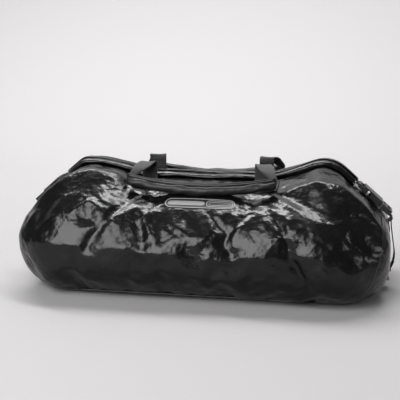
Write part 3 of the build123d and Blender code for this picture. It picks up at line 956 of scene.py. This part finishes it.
def stitches(name, lines, material, pitch=0.0036, length=0.0027, radius=0.0004):
    """Rows of stitches along some lines, as one piece."""
    vertices, edges = [], []
    for line in lines:
        base = len(vertices)
        vertices += [tuple(p) for p in line]
        edges += [(base + i, base + i + 1) for i in range(len(line) - 1)]
    mesh = bpy.data.meshes.new(name)
    mesh.from_pydata(vertices, edges, [])
    piece = bpy.data.objects.new(name, mesh)
    bpy.context.scene.collection.objects.link(piece)
    modifier = piece.modifiers.new("rows", "NODES")
    modifier.node_group = stitch_tree
    values = {"Pitch": pitch, "Stitch length": length, "Thread radius": radius, "Thread": material}
    for item in stitch_tree.interface.items_tree:
        if item.in_out == "INPUT" and item.name in values:
            modifier[item.identifier] = values[item.name]
    bake_modifiers(piece)
    piece.data.polygons.foreach_set("use_smooth", [True] * len(piece.data.polygons))
    return piece


def attach(piece, body, slot_name, *nodes):
    if nodes:
        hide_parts(*nodes)
    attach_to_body(piece, body)
    return piece


print("stitch tree", len(stitch_tree.nodes), "nodes")

# %% [markdown]
# ## The rolled mouth
# The mouth is pressed flat over its two stiffener strips and rolled up. Cut across, it is
# a flattened spiral, so the piece is that spiral swept along the ridge: down over the
# left shoulder, along the sagging top, and down over the right.

# %% Roll profile and path
roll_half = 0.020
roll_rise = 0.0075
roll_centre = 0.004
wing = 0.048
slope = np.array([end_x - shoulder_x, 0.0, edge_z - shoulder_z])
slope /= np.linalg.norm(slope)
slope_up = np.array([-slope[2], 0.0, slope[0]])


def on_slope(s, n):
    return np.array([shoulder_x, 0.0, shoulder_z]) + slope * s + slope_up * n


def spiral(turns=2.0, steps=32, thick=0.0011):
    """Closed outline (across, up) of a strip rolled into a flattened spiral."""
    outer, inner = [], []
    count = int(turns * steps)
    for i in range(count + 1):
        share = i / count
        turn = 2 * math.pi * turns * share + 0.6 * math.pi
        wide = 0.0150 + (roll_half - thick / 2 - 0.0150) * share
        high = 0.0034 + (roll_rise - thick / 2 - 0.0034) * share
        c, q = math.cos(turn), math.sin(turn)
        u, v = wide * math.copysign(abs(c) ** 0.8, c), high * math.copysign(abs(q) ** 0.9, q)
        ahead = math.hypot(u / wide ** 2, v / high ** 2)
        nu, nv = u / wide ** 2 / ahead, v / high ** 2 / ahead
        outer.append((u + nu * thick / 2, v + nv * thick / 2))
        inner.append((u - nu * thick / 2, v - nv * thick / 2))
    return np.array(outer + inner[::-1])


def roll_line(count):
    """The roll's centre line, with its two bends rounded."""
    xs = np.linspace(-shoulder_x, shoulder_x, 160)
    points = [np.array([x, 0.0, slack_ridge(x) + roll_centre]) for x in xs]
    right = [on_slope(s, roll_centre) for s in np.linspace(0, wing, 20)[3:]]
    left = [p * (-1, 1, 1) for p in right[::-1]]
    line = even_line(left + points + right, 400)
    for _ in range(60):
        line[1:-1] = (line[:-2] + 2 * line[1:-1] + line[2:]) / 4
    return even_line(line, count)


print("roll path ready")

# %% Sweep the roll
def build_roll():
    line, profile = roll_line(110), spiral()
    dice = np.random.default_rng(3)
    waves = [(dice.uniform(18, 70), dice.uniform(0, 6.3), dice.uniform(1, 4), dice.uniform(0.0003, 0.0007))
             for _ in range(9)]
    ahead = np.gradient(line, axis=0)
    ahead /= np.linalg.norm(ahead, axis=1)[:, None]
    side = np.array([0.0, 1.0, 0.0])
    n = len(profile)
    vertices, maps = [], []
    for point, heading in zip(line, ahead):
        up = np.cross(heading, side)
        up *= np.sign(up[2])
        middle = 1 - abs(point[0]) / shoulder_x
        squash = 1 - 0.10 * max(0.0, middle)
        for across, rise in profile:
            turn = math.atan2(rise, across)
            ripple = sum(a * math.sin(f * point[0] + p + k * turn) for f, p, k, a in waves)
            reach = 1 + ripple / roll_rise
            vertices.append(point + side * across * (1 + ripple / roll_half) + up * rise * reach * squash)
            maps.append((across, point[0]))
    faces = []
    for i in range(len(line) - 1):
        for k in range(n):
            a, b = i * n + k, i * n + (k + 1) % n
            faces.append((a, b, b + n, a + n))
    half = n // 2
    for i in range(half - 1):
        faces.append((i, n - 1 - i, n - 2 - i, i + 1)[::-1])
        last = (len(line) - 1) * n
        faces.append((last + i, last + n - 1 - i, last + n - 2 - i, last + i + 1))
    roll = make_piece("rolled_mouth_cloth", vertices, faces, bag_cloth, maps=maps)
    attach(roll, "root", "tarpaulin", "rolled_mouth")
    for name, above in (("front_lip_stiffener", 0.00125), ("rear_lip_stiffener", -0.00125)):
        spine = [p + np.cross(h, side) * np.sign(np.cross(h, side)[2]) * above for p, h in zip(line, ahead)]
        strip = ribbon(name + "_strip", spine[2:-2], side, 0.026, 0.0015, strip_plastic)
        attach(strip, "root", "stiffener", name)
    return roll


roll_piece = build_roll()
print("roll", len(roll_piece.data.polygons), "faces")

# %% [markdown]
# ## Weld bands
# The end panels and the base are welded on with a band that stands a little proud of the
# skin and catches a thin line of light. Each end's weld, seen from the front, is an arc.


# %% Bands along the end welds and the base
def arc_x(z, side):
    """x of the end weld at height z, from its circle through three points."""
    (x1, z1), (x2, z2), (x3, z3) = ((0.215, 0.248), (0.292, 0.097), (0.225, -0.010))
    d = 2 * (x1 * (z2 - z3) + x2 * (z3 - z1) + x3 * (z1 - z2))
    a1, a2, a3 = x1 ** 2 + z1 ** 2, x2 ** 2 + z2 ** 2, x3 ** 2 + z3 ** 2
    cx = (a1 * (z2 - z3) + a2 * (z3 - z1) + a3 * (z1 - z2)) / d
    cz = (a1 * (x3 - x2) + a2 * (x1 - x3) + a3 * (x2 - x1)) / d
    radius = math.hypot(x1 - cx, z1 - cz)
    return side * (cx + math.sqrt(max(0.0, radius ** 2 - (z - cz) ** 2)))


def end_weld(side):
    """The band along one end weld, open where it passes under the roll."""
    hits, normals = [], []
    for turn in np.linspace(math.radians(14), math.radians(346), 150):
        outward = np.array([0.0, math.sin(turn), math.cos(turn)])
        z = widest_z
        for _ in range(4):
            start = np.array([arc_x(z, side), 0.0, 0.105]) + outward * 0.3
            hit, normal = drop(start, -outward)
            z = hit[2]
        hits.append(hit)
        normals.append(normal)
    hits, normals = np.array(hits), np.array(normals)
    return band("weld", hits, normals, 0.008, 0.0009, weld_cloth)


def band(name, hits, normals, width, thick, material, crown=0.0004):
    """A ribbon that lies on the skin along dropped points."""
    for _ in range(3):
        hits[1:-1] = (hits[:-2] + 2 * hits[1:-1] + hits[2:]) / 4
        normals[1:-1] = (normals[:-2] + 2 * normals[1:-1] + normals[2:]) / 4
    normals = normals / np.linalg.norm(normals, axis=1)[:, None]
    spine = hits + normals * (thick / 2 + 0.0001)
    across = np.cross(np.gradient(spine, axis=0), normals)
    across /= np.linalg.norm(across, axis=1)[:, None]
    return ribbon(name, spine, -across, width, thick, material, crown=crown)


def base_weld():
    """The band round the base, just above the floor."""
    hits, normals = [], []
    for turn in np.linspace(0, 2 * math.pi, 241):
        outward = np.array([math.cos(turn), math.sin(turn), 0.0])
        reach = 1 / math.hypot(outward[0] / (end_x + 0.02), outward[1] / (half_deep + 0.02))
        hit, normal = drop(outward * reach + (0, 0, 0.009), -outward)
        hits.append(hit)
        normals.append(normal)
    return band("base_rim", np.array(hits), np.array(normals), 0.006, 0.0010, weld_cloth)


welds = join_pieces("weld_bands", [end_weld(-1), end_weld(1), base_weld()])
attach(welds, "root", "tarpaulin")
print("weld bands", len(welds.data.polygons), "faces")

# %% [markdown]
# ## Handle anchors
# Each handle strap starts on a welded patch, where it is sewn down flat, and then stands
# up to the line that the handle swings about.

# %% Patches, sewn webbing and its stitches
def box_stitch(top, inset=2):
    """Lines for a sewn box with a cross, on the top surface of a laid sheet."""
    rows, columns = top.shape[0] - 1, top.shape[1] - 1
    a, b, c, d = inset, columns - inset, inset, rows - inset

    def pick(i, k):
        low_i, low_k = min(int(i), rows - 1), min(int(k), columns - 1)
        si, sk = i - low_i, k - low_k
        return ((1 - si) * (1 - sk) * top[low_i, low_k] + si * (1 - sk) * top[low_i + 1, low_k]
                + (1 - si) * sk * top[low_i, low_k + 1] + si * sk * top[low_i + 1, low_k + 1])

    def line(i0, k0, i1, k1):
        return [pick(i0 + (i1 - i0) * t, k0 + (k1 - k0) * t) for t in np.linspace(0, 1, 20)]

    return [line(c, a, c, b), line(c, b, d, b), line(d, b, d, a), line(d, a, c, a),
            line(c, a, d, b), line(c, b, d, a)]


def build_anchors(end_name, side):
    patches, webs, seams = [], [], []
    for end in (-1, 1):
        x = end * anchor_x
        patch, _, patch_top = laid_sheet("patch", (x, side * 0.051, 0.20), (1, 0, 0), (0, side, 0),
                                         (0.062, 0.046), 0.008, (0, 0, -1), 0.0003, 0.0010, flat_cloth)
        patches.append(patch)
        web, _, web_top = laid_sheet("web", (x, side * 0.0512, 0.20), (1, 0, 0), (0, side, 0),
                                     (web_wide, 0.030), 0.0004, (0, 0, -1), 0.0014, web_thick, webbing)
        webs.append(web)
        seams += box_stitch(web_top)
        foot = web_top[0].mean(axis=0)
        lean = np.array([0.0, side, 0.0])
        line = smooth_line([foot + lean * 0.006 - (0, 0, 0.0006), foot + lean * 0.0015 + (0, 0, 0.0006),
                            (x, side * swing_y, foot[2] + 0.005),
                            (x, side * swing_y, swing_z - 0.010), (x, side * swing_y, swing_z - 0.0065)], 26)
        webs.append(ribbon("stub", line, (1, 0, 0), web_wide, web_thick, webbing))
    attach(join_pieces(end_name + "_anchor_patches", patches), "root", "patch_tarpaulin",
           end_name + "_handle_patches")
    attach(join_pieces(end_name + "_sewn_webbing", webs), "root", "webbing", end_name + "_handle_anchors")
    attach(stitches(end_name + "_anchor_stitches", seams, thread, pitch=0.0034), "root", "webbing")


build_anchors("front", -1)
build_anchors("rear", 1)
print("anchors", anchor_x, "m either side of the middle")

# %% [markdown]
# ## Carrying handles
# The webbing bends over at the swing line and runs into the ends of a soft grip. The grip is a sleeve folded
# round foam, with its raw edges sewn together in a flange along the top. It is a little
# flattened and puckered, as a handled grip is.

# %% Handle shape
grip_half = 0.122
grip_radius = 0.0075
handle_out, handle_down = 0.912363, 0.409383    # the direction in which a handle lies on the bag
handle_reach = 0.0537                           # from the swing line to the grip's ends
handle_bow = 0.012                              # and how much further its middle lies
grip_sag = {-1: 0.006, 1: 0.010}                # front and rear


def handle_points(side):
    """The grip's centre line for one side, bowed out in the handle's plane and sagging a little."""
    sag = grip_sag[side]
    hinge = np.array([0.0, side * swing_y, swing_z])
    out = np.array([0.0, side * handle_out, -handle_down])
    xs = np.linspace(-grip_half, grip_half, 73)
    middle = [1 - (x / grip_half) ** 2 for x in xs]
    line = np.array([hinge + out * (handle_reach + handle_bow * m) + (x, 0, -sag * m)
                     for x, m in zip(xs, middle)])
    return line, -out, np.cross(out, (1, 0, 0))


def build_grip(name, side):
    line, inward, lift = handle_points(side)
    lift = lift * np.sign(lift[2])
    dice = np.random.default_rng(21 + side)
    waves = [(dice.uniform(60, 210), dice.uniform(0, 6.3), dice.integers(1, 4), dice.uniform(0.0001, 0.0003))
             for _ in range(12)]
    ring = 40
    turns = np.linspace(0, 2 * math.pi, ring, endpoint=False)
    vertices, maps = [], []
    for i, point in enumerate(line):
        end = min(i, len(line) - 1 - i)
        tuck = 1 - 0.16 * math.exp(-end / 1.6)
        for turn in turns:
            ripple = sum(a * math.sin(f * point[0] + p + k * turn) for f, p, k, a in waves)
            radius = (grip_radius + ripple) * tuck
            c, q = math.cos(turn), math.sin(turn)
            vertices.append(point + inward * c * radius + lift * (q * radius * 0.96))
            maps.append((turn * grip_radius, point[0]))
    faces = []
    for i in range(len(line) - 1):
        for k in range(ring):
            a, b = i * ring + k, i * ring + (k + 1) % ring
            faces.append((a, b, b + ring, a + ring))
    faces.append(tuple(range(ring))[::-1])
    faces.append(tuple((len(line) - 1) * ring + k for k in range(ring)))
    sleeve = make_piece(name + "_grip", vertices, faces, sleeve_cloth, maps=maps)
    edge = inward * 0.45 + lift * 0.893 if side < 0 else inward
    front = np.cross(edge, (1, 0, 0))
    flange = ribbon("flange", line + edge * (grip_radius + 0.0016), edge, 0.0062, 0.0020, sleeve_cloth)
    piece = join_pieces(name + "_grip_cloth", [sleeve, flange])
    attach(piece, name + "_handle", "grip_sleeve", name + "_grip_sleeve", name + "_grip_foam")
    rows = [(line + edge * (grip_radius + 0.0022) + front * s * 0.0012)[2:-2] for s in (-1, 1)]
    sewn = stitches(name + "_grip_stitches", rows, pale_thread, pitch=0.0033, length=0.0024)
    attach(sewn, name + "_handle", "webbing")
    return line, inward, lift


def build_handle_straps(name, side, line, inward, lift):
    straps = []
    for end, tip in ((-1, line[0]), (1, line[-1])):
        x = end * anchor_x
        line_points = [(x, side * swing_y, swing_z - 0.0075), (x, side * swing_y, swing_z - 0.002),
                       (x + end * 0.001, side * (swing_y + 0.003), swing_z + 0.0024),
                       (x + end * 0.006, side * (swing_y + 0.013), swing_z + 0.0005),
                       (x + end * 0.014, side * (swing_y + 0.026), swing_z - 0.0060),
                       tip + inward * 0.0095 - (end * 0.004, 0, 0), tip - (end * 0.011, 0, 0)]
        spine = smooth_line(line_points, 60)
        share = np.linspace(0, 1, 60)
        turned = np.clip((share - 0.35) / 0.40, 0, 1)
        turned = turned * turned * (3 - 2 * turned)
        start, finish = np.array([1.0, 0, 0]), np.array([0.80, 0, 0]) - inward * end * 0.6
        across = start * (1 - turned[:, None]) + finish * turned[:, None]
        width = web_wide + (0.0115 - web_wide) * turned
        thick = web_thick + (0.0030 - web_thick) * turned
        straps.append(ribbon("strap", spine, across, width, thick, webbing))
    piece = join_pieces(name + "_handle_strap", straps)
    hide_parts(name + "_handle_webbing")
    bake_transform(piece)


for name, side in (("front", -1), ("rear", 1)):
    build_handle_straps(name, side, *build_grip(name, side))
print("handles swing at", round(swing_z, 4))

# %% [markdown]
# ## The label
# A thin stadium of smooth film is welded on under the front grip. Its print is bare: a
# pale outline, a long pale field, and a small outlined chip.

# %% Label shapes
label_low, label_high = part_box("front_label")
label_middle = (np.array(label_low) + label_high) / 2
label_plane = np.array([0.0, -0.66, 0.75])
label_up = np.array([0.0, 0.75, 0.66])
label_long, label_tall = 0.115, 0.0185
drop_from = 0.04                                # print is dropped onto the skin from this far off


def stadium(long, tall, count=96):
    """Points (u, v) round a stadium."""
    r, run = tall / 2, long / 2 - tall / 2
    right = [(run + r * math.cos(t), r * math.sin(t)) for t in np.linspace(-math.pi / 2, math.pi / 2, 24)]
    left = [(-u, -v) for u, v in right]
    return even_line(np.array(right + left + right[:1]), count)


def printed_outline(middle_u, long, tall, width, thick):
    line = stadium(long, tall)
    above = label_middle + np.array([middle_u, 0, 0]) + label_plane * drop_from
    points = [above + np.array([u, 0, 0]) + label_up * v for u, v in line]
    hits, normals = laid_line(points, [-label_plane] * len(points), 0.0009)
    across = np.cross(np.gradient(hits, axis=0), normals)
    across /= np.linalg.norm(across, axis=1)[:, None]
    return ribbon("outline", hits, -across, width, thick, label_print)


def printed_field(middle_u, long, tall, lift, material):
    middle = label_middle + np.array([middle_u, 0, 0])
    piece, _, _ = laid_sheet("field", middle, -label_up, (1, 0, 0), (tall, long), tall / 2 * 0.98,
                             -label_plane, lift, 0.0003, material, steps=(8, 40))
    return piece


label_piece = printed_field(0.0, label_long, label_tall + 0.003, 0.0003, label_base)
label_piece.name = "front_label_film"
attach(label_piece, "root", "label", "front_label")
printed = [printed_outline(0.0, label_long - 0.003, label_tall, 0.0011, 0.0003),
           printed_outline(0.0320, 0.0420, 0.0125, 0.0012, 0.0003),
           printed_outline(0.0320, 0.0340, 0.0060, 0.0008, 0.0003)]
attach(join_pieces("front_label_print", printed), "root", "label")
field = printed_field(-0.022, 0.060, 0.0105, 0.0008, label_field)
field.name = "front_label_field"
attach(field, "root", "label")
print("label", label_long, "by", label_tall)

# %% [markdown]
# ## Closure straps
# A strap is sewn to the patch on each end, runs up through the buckle's ladder, over its
# middle bar and back, and its loose tail hangs away from the bag. The tail goes with the plug.


# %% Straps, tails and end patches
buckle_along, buckle_above = 0.0555, 0.0068     # the buckle's middle, along the slope and above it
strap_face = 0.3041                             # the strap's middle line where it is sewn down
patch_high, patch_size = 0.061, (0.060, 0.050)
stitch_low, stitch_high, stitch_half = 0.053, 0.064, 0.010


def mirrored(points, end):
    return [np.array(p) * (end, 1, 1) for p in points]


def buckle_point(u, w):
    return on_slope(buckle_along + u, buckle_above + w)


def build_end(name, end):
    patch, _, _ = laid_sheet("patch", (end * 0.300, 0, patch_high), (0, end, 0), (0, 0, 1),
                             patch_size, 0.008, (-end, 0, 0), 0.0003, 0.0010, flat_cloth)
    patch.name = name + "_end_patch"
    attach(patch, "root", "patch_tarpaulin", name + "_strap_patch")
    strap_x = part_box(name + "_closure_strap")[1 if end > 0 else 0][0] * end
    face = strap_face
    up = [(face, 0, 0.052), (face, 0, 0.066), (face + 0.0008, 0, 0.085), (face + 0.0010, 0, 0.104),
          (face - 0.0010, 0, 0.116), buckle_point(0.078, -0.0044), buckle_point(0.066, -0.0044),
          buckle_point(0.0570, -0.0040), buckle_point(0.0542, -0.0005), buckle_point(0.0552, 0.0026),
          buckle_point(0.0584, 0.0032), buckle_point(0.0616, 0.0026), buckle_point(0.0626, 0.0)]
    spine = smooth_line(mirrored(up, end), 90)
    strap = ribbon(name + "_strap", spine, (0, end, 0), web_wide, web_thick, webbing)
    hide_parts(name + "_closure_strap")
    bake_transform(strap)
    down = [buckle_point(0.0626, 0.0), buckle_point(0.0634, -0.0012), buckle_point(0.072, -0.0018),
            (strap_x - 0.0006, 0, 0.112), (strap_x + 0.0012, 0, 0.098), (strap_x + 0.0040, 0, 0.080),
            (strap_x + 0.0066, 0, 0.062), (strap_x + 0.0052, 0, 0.046), (strap_x + 0.0006, 0, 0.036)]
    spine = smooth_line(mirrored(down, end), 70)
    tail = ribbon(name + "_tail", spine, (0, end, 0), web_wide, web_thick, webbing)
    attach(tail, name + "_plug", "webbing", name + "_closure_strap")
    low, high, half = stitch_low, stitch_high, stitch_half
    lines = [[(end * (face + 0.0010), y, z) for y, z in row] for row in (
        [(-half, low), (half, low)], [(half, low), (half, high)], [(half, high), (-half, high)],
        [(-half, high), (-half, low)], [(-half, low), (half, high)], [(half, low), (-half, high)])]
    attach(stitches(name + "_strap_stitches", lines, thread, pitch=0.0034), "root", "webbing")


build_end("left", -1)
build_end("right", 1)
print("closure straps and tails done")

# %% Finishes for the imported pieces
packed_finishes = {
    "closure_tab": webbing_packed, "ring_loop": webbing_packed,
    "socket": buckle_plastic, "plug": buckle_plastic, "d_ring": ring_metal,
}
for name, node in frame["nodes"].items():
    for word, finish in packed_finishes.items():
        if word in name:
            node.data.materials.clear()
            node.data.materials.append(finish)
print("packed pieces finished", len(frame["nodes"]))
